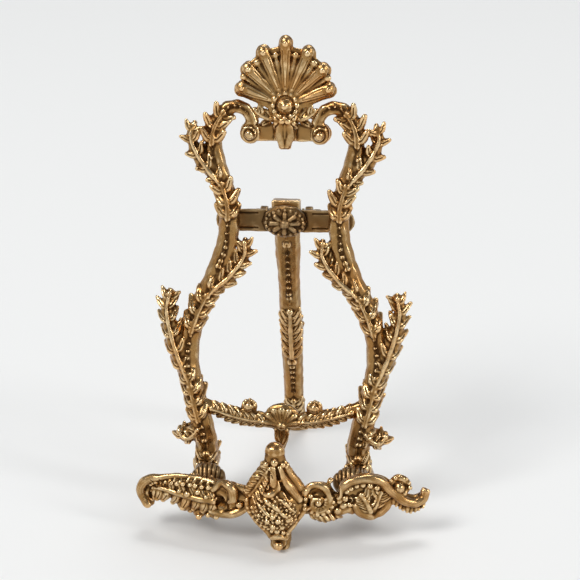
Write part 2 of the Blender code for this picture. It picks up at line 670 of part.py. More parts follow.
def build():
    clear_scene()
    stand = new_collection("plate_display_stand")
    cast = new_material("antiqued_gilt_casting", GILT, 0.36)
    plain = new_material("dark_gilt_frame", GILT_DARK, 0.42)
    hardware = new_material("brass_hardware", BRASS, 0.3)

    cartouche = front_cartouche()
    bar = ledge_bar()
    world_castings = [cartouche, left_leaf_wing(cartouche), right_scroll_wing(cartouche)]
    arms = [cradle_arm(side, bar) for side in (-1, 1)]
    world_screws = [*ledge_screws(), *(arm_screw(side) for side in (-1, 1))]

    stiles = [stile(side) for side in (-1, 1)]
    upright_castings = [*stiles, lower_tie(stiles), crest(stiles)]
    upright_hardware = [hinge_pin(), hinge_cap_nut()]
    for side in (-1, 1):
        upright_hardware += [crest_screw(side), bracket_screw(side), hinge_washer(side)]

    upright = new_empty("upright_frame", stand, upright_matrix())
    for piece in world_castings:
        finish_piece(piece, stand, cast)
    for piece in (bar, *arms):
        finish_piece(piece, stand, plain)
    for piece in world_screws:
        finish_piece(piece, stand, hardware)
    for piece in upright_castings:
        finish_piece(piece, stand, cast, upright)
    finish_piece(hinge_bracket(), stand, plain, upright)
    for piece in upright_hardware:
        finish_piece(piece, stand, hardware, upright)

    leg_axis = new_empty("leg_hinge_axis", stand, Matrix.Translation(hinge_point() * MM))
    finish_piece(rear_leg(), stand, cast, leg_axis)
    bpy.context.view_layer.update()


build()
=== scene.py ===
"""Looks of the plate display stand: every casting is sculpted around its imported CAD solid."""
import json
import math

import bpy
import numpy as np
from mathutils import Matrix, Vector
from mathutils.bvhtree import BVHTree


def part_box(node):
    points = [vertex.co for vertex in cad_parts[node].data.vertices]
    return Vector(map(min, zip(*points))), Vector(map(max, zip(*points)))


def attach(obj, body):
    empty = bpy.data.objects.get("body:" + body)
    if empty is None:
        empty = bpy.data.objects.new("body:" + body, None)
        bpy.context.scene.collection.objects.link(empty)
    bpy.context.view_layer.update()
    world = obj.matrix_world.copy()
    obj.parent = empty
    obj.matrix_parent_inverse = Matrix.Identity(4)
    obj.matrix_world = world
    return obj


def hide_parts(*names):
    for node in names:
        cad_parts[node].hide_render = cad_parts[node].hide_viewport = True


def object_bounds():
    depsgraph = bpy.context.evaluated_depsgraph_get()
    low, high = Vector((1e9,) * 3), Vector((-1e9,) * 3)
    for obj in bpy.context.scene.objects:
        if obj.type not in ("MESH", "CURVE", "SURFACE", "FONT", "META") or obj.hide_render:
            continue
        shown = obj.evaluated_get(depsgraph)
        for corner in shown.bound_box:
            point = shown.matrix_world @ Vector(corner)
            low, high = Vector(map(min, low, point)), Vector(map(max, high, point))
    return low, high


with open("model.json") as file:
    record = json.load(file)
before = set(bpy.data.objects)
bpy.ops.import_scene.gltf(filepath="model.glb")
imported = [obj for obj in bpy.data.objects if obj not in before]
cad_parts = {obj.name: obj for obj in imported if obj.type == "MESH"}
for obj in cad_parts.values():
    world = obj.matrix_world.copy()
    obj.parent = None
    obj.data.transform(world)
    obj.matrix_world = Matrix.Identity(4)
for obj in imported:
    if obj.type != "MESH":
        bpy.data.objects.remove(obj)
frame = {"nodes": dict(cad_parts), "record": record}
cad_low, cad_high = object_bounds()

MM = 0.001                     # the sculpting below counts in millimetres
GOLDEN_ANGLE = math.pi * (3 - math.sqrt(5))
ACROSS_AND_UP = [0, 2]         # the axes that a casting's face is drawn on

RECORD = frame["record"]
BODY_OF = {node: body for body, nodes in RECORD["behaviour"]["bodies"].items() for node in nodes}
SLOT_OF = {part["node"]: part["material_slot"] for part in RECORD["subparts"]}


# ---------------------------------------------------------------- meshes as arrays

SHRINK, SWELL = 0.52, -0.50    # pulls of the two passes that smooth a shape and keep its size


def vertices_of(mesh):
    """Vertex positions in millimetres."""
    flat = np.empty(len(mesh.vertices) * 3)
    mesh.vertices.foreach_get("co", flat)
    return flat.reshape(-1, 3) / MM


def triangles_of(mesh):
    mesh.calc_loop_triangles()
    return [tuple(triangle.vertices) for triangle in mesh.loop_triangles]


def normals_of(mesh):
    flat = np.empty(len(mesh.vertices) * 3)
    mesh.vertices.foreach_get("normal", flat)
    return flat.reshape(-1, 3)


def edges_of(mesh):
    flat = np.empty(len(mesh.edges) * 2, dtype=np.int32)
    mesh.edges.foreach_get("vertices", flat)
    return flat.reshape(-1, 2)


def set_positions(mesh, verts):
    mesh.vertices.foreach_set("co", (verts * MM).ravel())
    mesh.update()


def relaxed(verts, edges, rounds, pull=0.5):
    """Moves each vertex towards the mean of its neighbours, rounds times."""
    count = len(verts)
    here, there = np.concatenate([edges, edges[:, ::-1]]).T
    share = 1.0 / np.maximum(np.bincount(here, minlength=count), 1)
    for _ in range(rounds):
        sums = [np.bincount(here, weights=verts[there, axis], minlength=count) for axis in range(3)]
        mean = np.stack(sums, axis=1) * share[:, None]
        verts = verts + pull * (mean - verts)
    return verts


def smoothed(verts, edges, rounds):
    """Relaxes without shrinking: each pass inwards is followed by one outwards."""
    for _ in range(rounds):
        verts = relaxed(verts, edges, 1, SHRINK)
        verts = relaxed(verts, edges, 1, SWELL)
    return verts


def skinned(verts, faces, voxel, name="skin"):
    """One closed skin around overlapping closed shapes."""
    mesh = bpy.data.meshes.new(name)
    mesh.from_pydata([tuple(v) for v in verts * MM], [], faces)
    mesh.update()
    obj = bpy.data.objects.new(name, mesh)
    bpy.context.scene.collection.objects.link(obj)
    remesh = obj.modifiers.new("skin", "REMESH")
    remesh.mode = "VOXEL"
    remesh.voxel_size = voxel * MM
    bpy.context.view_layer.update()
    graph = bpy.context.evaluated_depsgraph_get()
    result = bpy.data.meshes.new_from_object(obj.evaluated_get(graph))
    bpy.data.objects.remove(obj, do_unlink=True)
    bpy.data.meshes.remove(mesh)
    result.name = name
    return result


# ---------------------------------------------------------------- clay: overlapping closed shapes

BAR_SIDES = 12
BAR_STEPS = 5                  # rings between two points of a bar
THINNEST_BAR = 0.05            # mm, radius
CAP_ANGLES = np.radians((30, 60, 80))
BEAD_SIDES = 10


def spline(points, steps):
    """Catmull-Rom samples through points of any length."""
    points = np.asarray(points, float)
    knots = np.vstack([2 * points[0] - points[1], points, 2 * points[-1] - points[-2]])
    u = np.linspace(0, 1, steps, endpoint=False)[:, None]
    spans = []
    for p0, p1, p2, p3 in zip(knots, knots[1:], knots[2:], knots[3:]):
        spans.append(0.5 * (2 * p1 + (p2 - p0) * u + (2 * p0 - 5 * p1 + 4 * p2 - p3) * u ** 2
                            + (3 * p1 - p0 - 3 * p2 + p3) * u ** 3))
    return np.vstack([*spans, points[-1:]])


def neighbours(sides):
    """Each corner of a ring with the next one round."""
    return [(side, (side + 1) % sides) for side in range(sides)]


def capped(centre, radius, along):
    """A bar's rings with smaller ones added, so that both of its ends are round."""
    bulge, shrink = np.sin(CAP_ANGLES)[:, None], np.cos(CAP_ANGLES)
    start = centre[0] - along[0] * radius[0] * bulge
    end = centre[-1] + along[-1] * radius[-1] * bulge
    return (np.vstack([start[::-1], centre, end]),
            np.concatenate([(radius[0] * shrink)[::-1], radius, radius[-1] * shrink]),
            np.vstack([[along[0]] * len(CAP_ANGLES), along, [along[-1]] * len(CAP_ANGLES)]))


class Clay:
    """Collects closed shapes, in millimetres, until they are skinned together."""

    def __init__(self, verts, faces):
        self.verts = [verts]
        self.faces = list(faces)
        self.count = len(verts)

    def add(self, verts, faces):
        self.faces += [tuple(index + self.count for index in face) for face in faces]
        self.verts.append(verts)
        self.count += len(verts)

    def bar(self, points, flat=1.0):
        """A tapering bar with round ends through (x, y, z, radius) points, squeezed by flat along Y."""
        path = spline(points, BAR_STEPS)
        centre, radius = path[:, :3], np.maximum(path[:, 3], THINNEST_BAR)
        along = np.gradient(centre, axis=0)
        along /= np.maximum(np.linalg.norm(along, axis=1, keepdims=True), 1e-9)
        centre, radius, along = capped(centre, radius, along)
        across = np.cross(along, (0.0, 1.0, 0.0)) + (1e-6, 0, 0)
        across /= np.linalg.norm(across, axis=1, keepdims=True)
        out = np.cross(across, along) * flat
        turn = np.linspace(0, 2 * math.pi, BAR_SIDES, endpoint=False)[None, :, None]
        spokes = np.cos(turn) * across[:, None] + np.sin(turn) * out[:, None]
        rings = centre[:, None] + radius[:, None, None] * spokes
        last = (len(centre) - 1) * BAR_SIDES
        faces = []
        for ring in range(0, last, BAR_SIDES):
            after = ring + BAR_SIDES
            faces += [(ring + a, ring + b, after + b, after + a) for a, b in neighbours(BAR_SIDES)]
        faces += [tuple(range(BAR_SIDES))[::-1], tuple(range(last, last + BAR_SIDES))]
        self.add(rings.reshape(-1, 3), faces)

    def bead(self, centre, radius):
        """A small ball."""
        tilts = np.linspace(0, math.pi, BEAD_SIDES // 2 + 2)[1:-1]
        turns = np.linspace(0, 2 * math.pi, BEAD_SIDES, endpoint=False)
        ball = [(math.sin(tilt) * math.cos(turn), math.sin(tilt) * math.sin(turn), math.cos(tilt))
                for tilt in tilts for turn in turns]
        verts = np.array([(0, 0, 1), *ball, (0, 0, -1)]) * radius + centre
        last = len(verts) - 1
        pairs = neighbours(BEAD_SIDES)
        faces = [(0, 1 + a, 1 + b) for a, b in pairs]
        for upper in range(1, last - BEAD_SIDES, BEAD_SIDES):
            lower = upper + BEAD_SIDES
            faces += [(upper + a, lower + a, lower + b, upper + b) for a, b in pairs]
        faces += [(last, last - BEAD_SIDES + b, last - BEAD_SIDES + a) for a, b in pairs]
        self.add(verts, faces)


# ---------------------------------------------------------------- a casting in the making

RAY_START = 200.0              # mm in front of the origin or behind it, clear of the whole stand
CREASE = (0.17, 0.2)           # mm, width and depth of the crease down a leaf's lobe
GROOVE_REACH = 3               # a groove is felt this many widths away
DEEPEST_CUT = 2.0              # mm
SKIN_PULL, LAST_PULL = 0.4, 0.25
LUMP_LENGTH = 1.7              # mm
WAVES = 9
CAVITY_SCALES = ((0.35, 1.0), (0.9, 0.8))     # mm that a hollow is judged over, and its weight
CAVITY_GAIN = 2.2


class Casting:
    """A CAD solid being sculpted. Places on it are (u, v): shares of its box's width and height."""

    def __init__(self, node, voxel, base_voxel=0.3, base_rounds=8):
        self.node, self.voxel = node, voxel
        low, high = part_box(node)
        self.low, self.size = np.array(low) / MM, (np.array(high) - np.array(low)) / MM
        solid = frame["nodes"][node].data
        base = skinned(vertices_of(solid), triangles_of(solid), base_voxel)
        set_positions(base, smoothed(vertices_of(base), edges_of(base), base_rounds))
        verts, faces = vertices_of(base), triangles_of(base)
        bpy.data.meshes.remove(base)
        self.tree = BVHTree.FromPolygons([tuple(v) for v in verts], faces)
        self.clay = Clay(verts, faces)
        self.lines = []
        self.random = np.random.RandomState(len(node) * 7 + int(self.size[2]))

    def spot(self, places):
        """(u, v) to (x, z) in millimetres, for one place or for many."""
        return self.low[ACROSS_AND_UP] + np.asarray(places, float) * self.size[ACROSS_AND_UP]

    def depth(self, x, z, face=-1):
        """Y of the front (face -1) or back (1) surface at (x, z)."""
        hit = self.tree.ray_cast(Vector((x, face * RAY_START, z)), Vector((0, -face, 0)))[0]
        if hit is None:
            middle = self.low[1] + self.size[1] / 2
            hit = self.tree.find_nearest(Vector((x, middle, z)))[0]
        return hit.y

    def rib_mm(self, points, lift=0.0, face=-1, flat=1.0):
        """A rib through (x, z, radius) points, lying on the surface."""
        laid = [(x, self.depth(x, z, face) + face * lift, z, radius) for x, z, radius in points]
        self.clay.bar(laid, flat)

    def bead_mm(self, x, z, radius, lift=0.0, face=-1):
        self.clay.bead((x, self.depth(x, z, face) + face * lift, z), radius)

    def rib(self, points, lift=0.0, face=-1):
        """A rib through (u, v, radius) points."""
        self.rib_mm([(*self.spot((u, v)), radius) for u, v, radius in points], lift, face)

    def bead(self, u, v, radius, lift=0.0, face=-1):
        self.bead_mm(*self.spot((u, v)), radius, lift, face)

    def scatter(self, beads, lift):
        """Single beads, each given as (u, v, radius)."""
        for u, v, radius in beads:
            self.bead(u, v, radius, lift)

    def beads(self, points, count, first, last, lift=0.0, face=-1):
        """Evenly spaced beads along a curve of (u, v) points, graded from first to last radius."""
        path = spline(points, 20)
        for index, row in enumerate(np.linspace(0, len(path) - 1, count).astype(int)):
            radius = first + (last - first) * index / (count - 1)
            self.bead(*path[row], radius, lift, face)

    def line(self, points, width, depth):
        """A groove pressed into front and back alike."""
        self.lines.append((self.spot(spline(points, 8)), width, depth))

    def leaf(self, spine, lobes, reach, thick, lift, face=-1, sides=(-1, 1), lean=0.8, bead=0.0):
        """An acanthus leaf: overlapping lobes lean forward from a midrib, each creased down its middle."""
        path = self.spot(spline(spine, 16))
        last = len(path) - 1
        for side in sides:
            for index in range(lobes):
                share = (index + 0.35) / lobes                      # of the way up the midrib
                row = int(share * last)
                along = path[min(row + 4, last)] - path[max(row - 4, 0)]
                along = along / np.linalg.norm(along)
                across = side * np.array((-along[1], along[0]))
                # the lobes are longest just past the middle, and no two are quite alike
                span = reach * (0.66 + 0.34 * math.sin(math.pi * (0.15 + 0.75 * share)))
                span *= 1 + 0.1 * self.random.uniform(-1, 1)
                body = thick * (1.08 - 0.3 * share)
                root = path[row]
                knee = root + along * span * lean * 0.28 + across * span * 0.5
                tip = root + along * span * lean + across * span
                self.rib_mm([(*root, body * 0.7), (*knee, body), (*tip, body * 0.62)], lift, face, 0.8)
                crease = np.array([knee - 0.35 * (knee - root), knee, knee + 0.75 * (tip - knee)])
                self.lines.append((crease, *CREASE))
                if bead:
                    self.bead_mm(*tip, bead, lift + 0.1, face)
        ridge = [(*path[int(share * last)], thick * (0.72 - 0.3 * share)) for share in (0, 0.35, 0.7, 1.0)]
        self.rib_mm(ridge, lift + 0.55, face)
        self.bead_mm(*path[last], thick * 0.8, lift + 0.2, face)

    def carve(self, verts, normals):
        """Presses the drawn lines into the skin."""
        flat = verts[:, ACROSS_AND_UP]
        press = np.zeros(len(verts))
        for places, width, depth in self.lines:
            reach = GROOVE_REACH * width
            near = np.all((flat > places.min(0) - reach) & (flat < places.max(0) + reach), axis=1)
            spots = flat[near]
            if not len(spots):
                continue
            nearest = np.full(len(spots), np.inf)
            for start, end in zip(places, places[1:]):
                run = end - start
                share = np.clip(((spots - start) @ run) / max(run @ run, 1e-9), 0, 1)
                gap = spots - start - share[:, None] * run
                nearest = np.minimum(nearest, np.sum(gap ** 2, axis=1))
            press[near] += depth * np.exp(-nearest / width ** 2)
        return verts - normals * np.minimum(press, DEEPEST_CUT)[:, None]

    def kept_inside(self, verts):
        """Draws the piece in where it has grown past its CAD box."""
        low, high = verts.min(0), verts.max(0)
        room_low, room_high = np.maximum(low, self.low), np.minimum(high, self.low + self.size)
        return room_low + (verts - low) * (room_high - room_low) / (high - low)

    def finish(self, material, rounds=2, lumps=0.1):
        """Skins the clay, wears it down, carves its lines and leaves it uneven, as cast metal is."""
        mesh = skinned(np.vstack(self.clay.verts), self.clay.faces, self.voxel, self.node + "_cast")
        edges = edges_of(mesh)
        verts = relaxed(vertices_of(mesh), edges, rounds, SKIN_PULL)
        set_positions(mesh, verts)
        normals = normals_of(mesh)
        verts = self.carve(verts, normals) + normals * lumps * waves(verts, LUMP_LENGTH)[:, None]
        set_positions(mesh, self.kept_inside(relaxed(verts, edges, 1, LAST_PULL)))
        store_cavity(mesh, self.voxel)
        mesh.shade_smooth()
        show(mesh, self.node, material)


def waves(verts, length):
    """Smooth unevenness, mostly between -1 and 1, whose lumps are about length millimetres across."""
    random = np.random.RandomState(5)
    total = np.zeros(len(verts))
    for _ in range(WAVES):
        direction = random.normal(size=3)
        direction *= 2 * math.pi / (length * random.uniform(1.2, 3.0)) / np.linalg.norm(direction)
        total += np.sin(verts @ direction + random.uniform(0, 2 * math.pi))
    return total / (WAVES / 2)


def store_cavity(mesh, voxel):
    """Saves how hollow (towards 1) or proud (towards 0) the surface is, for the patina."""
    verts, edges, normals = vertices_of(mesh), edges_of(mesh), normals_of(mesh)
    hollow = np.zeros(len(verts))
    for reach, weight in CAVITY_SCALES:
        rounds = max(2, int((reach / voxel) ** 2))
        shift = np.sum((relaxed(verts, edges, rounds) - verts) * normals, axis=1)
        hollow += weight * shift / reach
    attribute = mesh.attributes.new("cavity", "FLOAT", "POINT")
    attribute.data.foreach_set("value", np.clip(0.5 + CAVITY_GAIN * hollow, 0, 1).astype(np.float32))


def show(mesh, node, material):
    """Puts the finished casting in its node's place."""
    piece = bpy.data.objects.new(node + "_cast", mesh)
    bpy.context.scene.collection.objects.link(piece)
    mesh.materials.append(material)
    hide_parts(node)
    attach(piece, BODY_OF[node])


# ---------------------------------------------------------------- materials

def ramp_node(nodes, stops):
    """A colour ramp through (position, colour) stops."""
    ramp = nodes.new("ShaderNodeValToRGB")
    elements = ramp.color_ramp.elements
    while len(elements) < len(stops):
        elements.new(0.5)
    for element, (position, colour) in zip(elements, stops):
        element.position = position
        element.color = (*colour, 1.0)
    return ramp


def noise_node(nodes, links, coords, size, detail, roughness=0.55):
    """Noise whose features are about size millimetres."""
    noise = nodes.new("ShaderNodeTexNoise")
    noise.inputs["Scale"].default_value = 1.0 / (size * MM)
    noise.inputs["Detail"].default_value = detail
    noise.inputs["Roughness"].default_value = roughness
    links.new(coords.outputs["Object"], noise.inputs["Vector"])
    return noise


def math_node(nodes, links, operation, *values, clamp=False):
    node = nodes.new("ShaderNodeMath")
    node.operation = operation
    node.use_clamp = clamp
    for socket, value in zip(node.inputs, values):
        if isinstance(value, (int, float)):
            socket.default_value = value
        else:
            links.new(value, socket)
    return node.outputs[0]


BLOTCH_SIZE, FLECK_SIZE, COPPER_SIZE, GRAIN_SIZE = 5.0, 0.7, 9.0, 0.35     # mm
FLECKING = 0.16
COPPER_TINT = (1.0, 0.86, 0.72)


def gilt(name, proud, plain, deep, gloss=(0.18, 0.29, 0.6), grain=0.05, wear=0.22):
    """Antiqued gilding: bright where rubbed, brown in the hollows, mottled and here and there coppery.

    gloss is the roughness of proud, plain and deep metal; grain is the depth of the cast skin in mm.
    """
    material = bpy.data.materials.new(name)
    material.use_nodes = True
    nodes, links = material.node_tree.nodes, material.node_tree.links
    shader = nodes["Principled BSDF"]
    shader.inputs["Metallic"].default_value = 1.0
    coords = nodes.new("ShaderNodeTexCoord")
    cavity = nodes.new("ShaderNodeAttribute")
    cavity.attribute_name = "cavity"

    # how dirty the metal is, 0 to 1: its hollowness, unevenly worn in blotches and flecks
    blotch = noise_node(nodes, links, coords, BLOTCH_SIZE, 3.0)
    fleck = noise_node(nodes, links, coords, FLECK_SIZE, 5.0, 0.7)
    mottled = math_node(nodes, links, "MULTIPLY_ADD", blotch.outputs["Fac"], wear, -wear / 2)
    flecked = math_node(nodes, links, "MULTIPLY_ADD", fleck.outputs["Fac"], FLECKING, -FLECKING / 2)
    amount = math_node(nodes, links, "ADD", cavity.outputs["Fac"], mottled)
    amount = math_node(nodes, links, "ADD", amount, flecked, clamp=True)

    middle = tuple(0.4 * a + 0.6 * b for a, b in zip(plain, deep))
    tone = ramp_node(nodes, [(0.18, proud), (0.42, plain), (0.56, plain), (0.66, middle), (0.8, deep)])
    links.new(amount, tone.inputs["Fac"])
    copper = noise_node(nodes, links, coords, COPPER_SIZE, 2.0)
    tint = ramp_node(nodes, [(0.42, (1.0, 1.0, 1.0)), (0.62, COPPER_TINT)])
    links.new(copper.outputs["Fac"], tint.inputs["Fac"])
    mix = nodes.new("ShaderNodeMix")
    mix.data_type = "RGBA"
    mix.blend_type = "MULTIPLY"
    mix.inputs["Factor"].default_value = 1.0
    links.new(tone.outputs["Color"], mix.inputs["A"])
    links.new(tint.outputs["Color"], mix.inputs["B"])
    links.new(mix.outputs["Result"], shader.inputs["Base Color"])

    rough = ramp_node(nodes, [(place, (value,) * 3) for place, value in zip((0.2, 0.5, 0.8), gloss)])
    links.new(amount, rough.inputs["Fac"])
    links.new(rough.outputs["Color"], shader.inputs["Roughness"])

    skin = noise_node(nodes, links, coords, GRAIN_SIZE, 6.0, 0.65)
    bump = nodes.new("ShaderNodeBump")
    bump.inputs["Strength"].default_value = 0.6
    bump.inputs["Distance"].default_value = grain * MM
    links.new(skin.outputs["Fac"], bump.inputs["Height"])
    links.new(bump.outputs["Normal"], shader.inputs["Normal"])
    return material


PALE_GOLD = (0.82, 0.60, 0.33)
GOLD = (0.35, 0.20, 0.071)
UMBER = (0.085, 0.042, 0.014)
CAST_GILT = gilt("antiqued_gilt", PALE_GOLD, GOLD, UMBER)
# frame gilt: its whole palette is darkened as painted shade, standing in for the plate's shadow on the cradle
# arms; the ledge bar and the hinge bracket share it
SHADED_FRAME_GILT = gilt("frame_gilt_painted_shade", (0.42, 0.29, 0.15), (0.19, 0.112, 0.045), (0.05, 0.027, 0.011),
                  gloss=(0.3, 0.42, 0.6), grain=0.08, wear=0.3)
TURNED_BRASS = gilt("turned_brass", (0.72, 0.56, 0.32), (0.42, 0.29, 0.13), (0.07, 0.04, 0.018),
                    gloss=(0.18, 0.28, 0.5), grain=0.03)


# ---------------------------------------------------------------- ledge castings

LEDGE_WEAR = 4                 # rounds of smoothing that stand for years of polishing


def comb(casting, points, count, length, radius, slant, lift=0.2):
    """Short parallel ribs standing on a curve of (u, v) points."""
    path = spline(points, 20)
    run = length / 2 * np.array((math.cos(slant), math.sin(slant)))
    for row in np.linspace(0, len(path) - 1, count).astype(int):
        middle = casting.spot(path[row])
        casting.rib_mm([(*(middle - run), radius), (*middle, radius * 1.25), (*(middle + run), radius)], lift)


def left_leaf_wing():
    """A long acanthus leaf whose smooth border curls down at the tip."""
    wing = Casting("left_leaf_wing", 0.16)
    # the long leaf: plump lobes hang to the scalloped lower edge, shorter ones reach the border above
    midrib = [(0.68, 0.54), (0.55, 0.54), (0.38, 0.58), (0.22, 0.64), (0.13, 0.62)]
    wing.leaf(midrib, 8, 4.3, 1.45, 0.0, sides=(1,), lean=0.3, bead=0.85)
    wing.leaf(midrib, 7, 3.3, 1.2, 0.1, sides=(-1,), lean=0.45)
    # border above, swelling into the smooth curl that turns down at the tip
    wing.rib([(0.66, 0.95, 0.6), (0.52, 0.97, 0.75), (0.36, 0.94, 0.8), (0.22, 0.88, 0.9), (0.11, 0.80, 1.3),
              (0.035, 0.60, 1.4), (0.03, 0.34, 1.4), (0.08, 0.16, 1.3)], 0.15)
    comb(wing, [(0.34, 0.91), (0.48, 0.95), (0.62, 0.94)], 6, 1.8, 0.45, math.radians(55), 0.15)
    wing.line([(0.16, 0.66), (0.11, 0.60), (0.09, 0.48), (0.11, 0.34)], 0.45, 0.8)
    wing.bead(0.125, 0.28, 0.8, 0.2)
    wing.beads([(0.14, 0.70), (0.30, 0.79), (0.46, 0.84), (0.62, 0.84)], 10, 0.55, 0.85, 0.55)
    wing.scatter([(0.26, 0.54, 0.75), (0.37, 0.66, 0.8), (0.44, 0.62, 1.05), (0.53, 0.70, 0.9),
                  (0.60, 0.62, 0.8)], 0.75)
    # folded lumps between the leaf and the cartouche, with a hollow in their middle
    wing.rib([(0.66, 0.80, 0.9), (0.73, 0.96, 1.1), (0.81, 0.90, 1.5), (0.83, 0.68, 1.4),
              (0.80, 0.56, 0.9)], 0.4)
    wing.rib([(0.86, 0.92, 0.9), (0.93, 0.82, 1.3), (0.95, 0.66, 1.3), (0.92, 0.50, 0.9)], 0.35)
    wing.rib([(0.64, 0.26, 0.9), (0.73, 0.20, 1.4), (0.83, 0.26, 1.4), (0.92, 0.36, 1.1)], 0.35)
    wing.bead(0.88, 0.50, 1.15, 0.5)
    wing.line([(0.715, 0.58), (0.72, 0.46), (0.755, 0.42)], 0.85, 2.0)
    wing.bead(0.695, 0.62, 0.65, 0.8)
    wing.scatter([(0.45, 0.12, 0.9), (0.53, 0.08, 0.95), (0.61, 0.12, 0.9), (0.68, 0.13, 0.8)], 0.25)
    wing.finish(CAST_GILT, LEDGE_WEAR)


def right_scroll_wing():
    """A C-scroll, an arch around a small leaf and a tail that curls up at the tip."""
    wing = Casting("right_scroll_wing", 0.16)
    # C-scroll that winds in to its eye; its lower right side is combed
    wing.rib([(0.04, 0.70, 0.9), (0.10, 0.84, 1.0), (0.18, 0.82, 1.1), (0.235, 0.62, 1.0), (0.225, 0.42, 0.9),
              (0.165, 0.30, 0.8), (0.105, 0.38, 0.8), (0.105, 0.54, 0.8), (0.15, 0.58, 0.7)], 0.4)
    eye_u, eye_v = 0.15, 0.50
    for step in range(8):
        angle = math.radians(25 - 24 * step)
        across, up = math.cos(angle) / wing.size[0], math.sin(angle) / wing.size[2]
        wing.rib([(eye_u + 1.9 * across, eye_v + 1.9 * up, 0.45),
                  (eye_u + 3.9 * across, eye_v + 3.9 * up, 0.62)], 0.75)
    wing.bead(eye_u, eye_v, 1.0, 0.6)
    wing.bead(0.085, 0.62, 0.7, 0.6)
    wing.bead(0.235, 0.86, 1.05, 0.5)
    wing.line([(0.27, 0.80), (0.285, 0.66)], 0.7, 1.6)
    # combed leaf under the scroll, and the lumps that lead to the arch
    comb(wing, [(0.10, 0.17), (0.20, 0.09), (0.30, 0.14)], 6, 2.8, 0.5, math.radians(-55))
    wing.rib([(0.30, 0.20, 0.8), (0.36, 0.30, 1.3), (0.40, 0.22, 0.9)], 0.3)
    wing.scatter([(0.295, 0.28, 1.2), (0.335, 0.40, 1.1), (0.305, 0.50, 0.9), (0.35, 0.54, 1.0),
                  (0.385, 0.42, 0.9)], 0.45)
    # smooth arch with beads along its inside
    wing.rib([(0.30, 0.58, 0.9), (0.32, 0.76, 1.1), (0.39, 0.90, 1.3), (0.51, 0.94, 1.35), (0.62, 0.85, 1.35),
              (0.70, 0.62, 1.35), (0.79, 0.40, 1.4), (0.875, 0.30, 1.45), (0.94, 0.36, 1.4),
              (0.965, 0.50, 1.2)], 0.3)
    wing.beads([(0.36, 0.70), (0.42, 0.80), (0.50, 0.82), (0.59, 0.73)], 6, 0.75, 0.9, 0.5)
    # lobed leaf inside the arch, gathered into a smooth pointed bowl
    wing.leaf([(0.545, 0.26), (0.52, 0.42), (0.47, 0.60)], 4, 3.1, 1.15, 0.3)
    wing.leaf([(0.57, 0.30), (0.60, 0.46), (0.62, 0.60)], 3, 2.5, 1.05, 0.3)
    wing.rib([(0.42, 0.42, 0.9), (0.455, 0.24, 1.4), (0.52, 0.12, 1.4), (0.565, 0.05, 0.7)], 0.35)
    wing.rib([(0.685, 0.44, 0.9), (0.66, 0.26, 1.4), (0.61, 0.13, 1.3), (0.568, 0.05, 0.7)], 0.35)
    wing.line([(0.405, 0.56), (0.415, 0.48)], 0.6, 0.9)
    wing.line([(0.555, 0.55), (0.56, 0.44)], 0.45, 0.9)
    # tail: knob in a curl of beads, combed lower edge, ringed tip
    wing.rib([(0.69, 0.76, 0.8), (0.735, 0.86, 1.0), (0.79, 0.83, 1.1), (0.82, 0.68, 1.1),
              (0.80, 0.54, 0.9)], 0.3)
    wing.beads([(0.69, 0.82), (0.75, 0.90), (0.82, 0.82), (0.84, 0.66)], 6, 0.7, 0.7, 0.7)
    wing.bead(0.76, 0.68, 1.6, 0.6)
    comb(wing, [(0.72, 0.40), (0.79, 0.25), (0.87, 0.17), (0.95, 0.26)], 9, 2.2, 0.5, math.radians(80),
         0.35)
    wing.bead(0.95, 0.48, 1.6, 0.4)
    wing.line([(0.905, 0.46), (0.93, 0.60), (0.975, 0.58)], 0.35, 0.5)
    wing.finish(CAST_GILT, LEDGE_WEAR)


GRAINS = 90                    # small beads that cover the cartouche's boss


